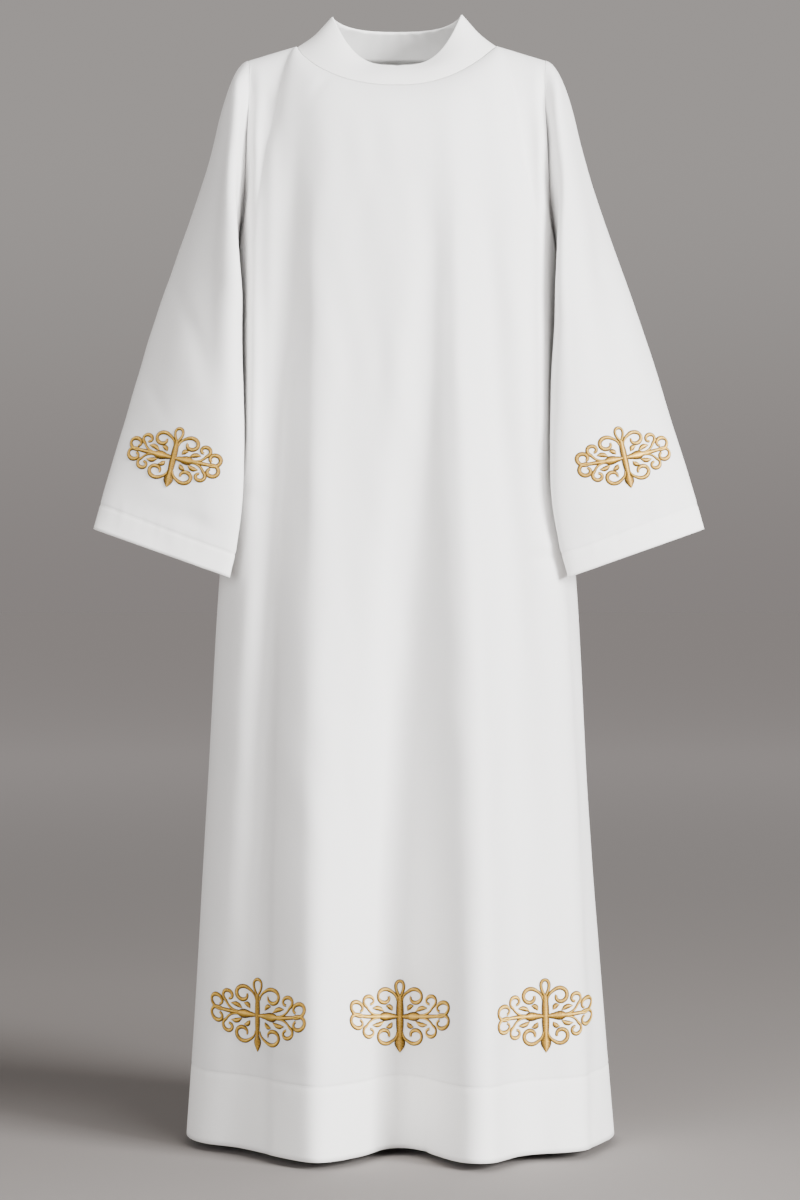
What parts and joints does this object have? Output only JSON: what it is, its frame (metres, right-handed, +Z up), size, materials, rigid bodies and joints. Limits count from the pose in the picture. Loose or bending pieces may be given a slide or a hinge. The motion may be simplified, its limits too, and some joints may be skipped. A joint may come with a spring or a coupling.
{
  "type": "alb robe",
  "caption": "Long white alb with a folded band collar, wide straight sleeves, and gold embroidered crosses at the hem and cuffs.",
  "frame": {"origin": "between the shoulders, level with the neck points, where the wearer carries the robe", "axes": "+Z up towards the head, -Y towards the front of the robe, +X towards the wearer's left sleeve"},
  "size_m": [0.8034, 0.486, 1.4898],
  "materials": {
    "cloth": "matt, fine plain weave",
    "thread": "satin-stitched gold embroidery thread"
  },
  "bodies": {
    "root": {"front_chest": "cloth", "front_waist": "cloth", "front_skirt": "cloth", "back_chest": "cloth", "back_waist": "cloth", "back_skirt": "cloth", "sleeve_left": "cloth", "sleeve_right": "cloth", "collar": "cloth", "cross_hem_left": "thread", "cross_hem_middle": "thread", "cross_hem_right": "thread", "cross_sleeve_left": "thread", "cross_sleeve_right": "thread"}
  },
  "joints": []
}
